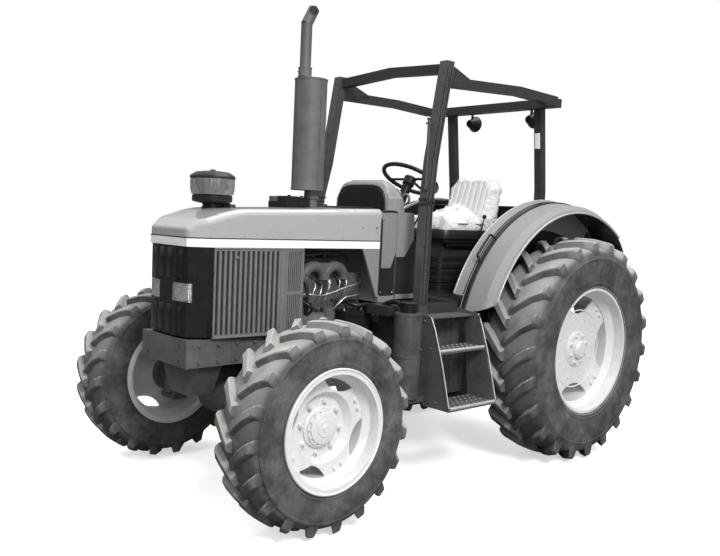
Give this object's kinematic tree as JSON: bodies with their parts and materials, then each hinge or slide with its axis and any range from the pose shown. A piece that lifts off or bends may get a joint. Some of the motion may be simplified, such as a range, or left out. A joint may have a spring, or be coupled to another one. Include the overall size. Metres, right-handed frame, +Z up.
{
  "type": "farm tractor",
  "caption": "Four-wheel-drive farm tractor with an open station under a roll-over frame, upright exhaust, lugged tyres, side steps and a rear three-point hitch.",
  "frame": {"origin": "on the ground under the middle of the box that holds the tractor", "axes": "+X forward, +Y to the tractor's left, +Z up"},
  "size_m": [3.9578, 1.981, 2.9704],
  "materials": {
    "body_paint": "gloss",
    "band_paint": "gloss",
    "dark_paint": "satin",
    "chassis_paint": "satin paint over castings",
    "wheel_paint": "gloss",
    "tyre": "matt",
    "grille_metal": "satin silver",
    "nose_plastic": "matt",
    "bright_steel": "ground",
    "soft_cover": "coated fabric",
    "dash_plastic": "matt",
    "black_plastic": "satin",
    "tank_plastic": "matt",
    "lamp_glass": "clear lens over a bright reflector"
  },
  "bodies": {
    "chassis": {"air_precleaner": "black_plastic", "battery_box": "black_plastic", "cowl": "body_paint", "dash_console": "dash_plastic", "drawbar": "chassis_paint", "engine_block": "chassis_paint", "engine_manifold": "chassis_paint", "exhaust_stack": "dark_paint", "fender_left": "body_paint", "fender_right": "body_paint", "front_axle_beam": "chassis_paint", "front_bolster": "chassis_paint", "fuel_tank_left": "tank_plastic", "fuel_tank_right": "tank_plastic", "gearbox": "chassis_paint", "headlamp_left": "lamp_glass", "headlamp_right": "lamp_glass", "hood": "body_paint", "hood_band": "band_paint", "nose_grille": "nose_plastic", "platform": "dark_paint", "radiator": "chassis_paint", "rear_axle_case": "chassis_paint", "rops_front_post_left": "dark_paint", "rops_front_post_right": "dark_paint", "rops_rear_post_left": "dark_paint", "rops_rear_post_right": "dark_paint", "rops_roof": "dark_paint", "seat_back": "soft_cover", "seat_base": "dark_paint", "seat_cushion": "soft_cover", "side_canister": "tank_plastic", "side_grille_left": "grille_metal", "side_grille_right": "grille_metal", "steering_column": "black_plastic", "steering_ram": "chassis_paint", "steps_left": "dark_paint", "steps_right": "dark_paint", "work_lamp_left": "black_plastic", "work_lamp_right": "black_plastic"},
    "knuckle_left": {"knuckle_left": "chassis_paint"},
    "knuckle_right": {"knuckle_right": "chassis_paint"},
    "front_wheel_left": {"front_rim_left": "wheel_paint", "front_tyre_left": "tyre"},
    "front_wheel_right": {"front_rim_right": "wheel_paint", "front_tyre_right": "tyre"},
    "rear_wheel_left": {"rear_rim_left": "wheel_paint", "rear_tyre_left": "tyre"},
    "rear_wheel_right": {"rear_rim_right": "wheel_paint", "rear_tyre_right": "tyre"},
    "tie_rod": {"tie_rod": "chassis_paint"},
    "steering_ram_rod": {"steering_ram_rod": "bright_steel"},
    "steering_wheel": {"steering_wheel": "black_plastic"},
    "lower_link_left": {"lower_link_left": "chassis_paint"},
    "lower_link_right": {"lower_link_right": "chassis_paint"},
    "lift_arms": {"lift_arms": "chassis_paint"},
    "lift_rod_left": {"lift_rod_left": "chassis_paint"},
    "lift_rod_right": {"lift_rod_right": "chassis_paint"},
    "top_link": {"top_link": "chassis_paint"}
  },
  "joints": [
    {"name": "steer_left", "type": "hinge", "parent": "chassis", "child": "knuckle_left", "pos_m": [1.416, 0.68, 0.563], "axis": [0, 0, 1], "range_deg": [-40, 40]},
    {"name": "steer_right", "type": "hinge", "parent": "chassis", "child": "knuckle_right", "pos_m": [1.416, -0.68, 0.563], "axis": [0, 0, 1], "range_deg": [-40, 40]},
    {"name": "front_wheel_left_spin", "type": "hinge", "parent": "knuckle_left", "child": "front_wheel_left", "pos_m": [1.416, 0.8175, 0.563], "axis": [0, 1, 0], "continuous": true},
    {"name": "front_wheel_right_spin", "type": "hinge", "parent": "knuckle_right", "child": "front_wheel_right", "pos_m": [1.416, -0.8175, 0.563], "axis": [0, 1, 0], "continuous": true},
    {"name": "rear_wheel_left_spin", "type": "hinge", "parent": "chassis", "child": "rear_wheel_left", "pos_m": [-0.959, 0.7755, 0.784], "axis": [0, 1, 0], "continuous": true},
    {"name": "rear_wheel_right_spin", "type": "hinge", "parent": "chassis", "child": "rear_wheel_right", "pos_m": [-0.959, -0.7755, 0.784], "axis": [0, 1, 0], "continuous": true},
    {"name": "tie_rod_pivot", "type": "hinge", "parent": "knuckle_left", "child": "tie_rod", "pos_m": [1.236, 0.68, 0.507], "axis": [0, 0, 1], "range_deg": [-40, 40]},
    {"name": "steering_ram_slide", "type": "slide", "parent": "chassis", "child": "steering_ram_rod", "axis": [0, 1, 0], "range_m": [-0.1155, 0.1155]},
    {"name": "steering_wheel_turn", "type": "hinge", "parent": "chassis", "child": "steering_wheel", "pos_m": [-0.054, 0, 1.927], "axis": [-0.4695, 0, 0.8829], "range_deg": [-720.5, 720.5]},
    {"name": "lower_link_left_lift", "type": "hinge", "parent": "chassis", "child": "lower_link_left", "pos_m": [-1.084, 0.3, 0.59], "axis": [0, 1, 0], "range_deg": [-16, 32]},
    {"name": "lower_link_right_lift", "type": "hinge", "parent": "chassis", "child": "lower_link_right", "pos_m": [-1.084, -0.3, 0.59], "axis": [0, 1, 0], "range_deg": [-16, 32]},
    {"name": "lift_arms_turn", "type": "hinge", "parent": "chassis", "child": "lift_arms", "pos_m": [-1.144, 0, 1.15], "axis": [0, 1, 0], "range_deg": [-16, 32]},
    {"name": "lift_rod_left_pivot", "type": "hinge", "parent": "lift_arms", "child": "lift_rod_left", "pos_m": [-1.5028, 0.291, 1.12062], "axis": [0, 1, 0], "range_deg": [-32, 16]},
    {"name": "lift_rod_right_pivot", "type": "hinge", "parent": "lift_arms", "child": "lift_rod_right", "pos_m": [-1.5028, -0.291, 1.12062], "axis": [0, 1, 0], "range_deg": [-32, 16]},
    {"name": "top_link_swing", "type": "hinge", "parent": "chassis", "child": "top_link", "pos_m": [-1.274, 0, 0.96], "axis": [0, 1, 0], "range_deg": [-90, 0]}
  ],
  "couplings": [
    {"joint": "steer_right", "follows": "steer_left", "ratio": 1},
    {"joint": "tie_rod_pivot", "follows": "steer_left", "ratio": -1},
    {"joint": "steering_ram_slide", "follows": "steer_left", "m_per_rad": -0.165},
    {"joint": "steering_wheel_turn", "follows": "steer_left", "ratio": 18},
    {"joint": "lower_link_right_lift", "follows": "lower_link_left_lift", "ratio": 1},
    {"joint": "lift_arms_turn", "follows": "lower_link_left_lift", "ratio": 1},
    {"joint": "lift_rod_left_pivot", "follows": "lower_link_left_lift", "ratio": -1},
    {"joint": "lift_rod_right_pivot", "follows": "lower_link_left_lift", "ratio": -1}
  ]
}
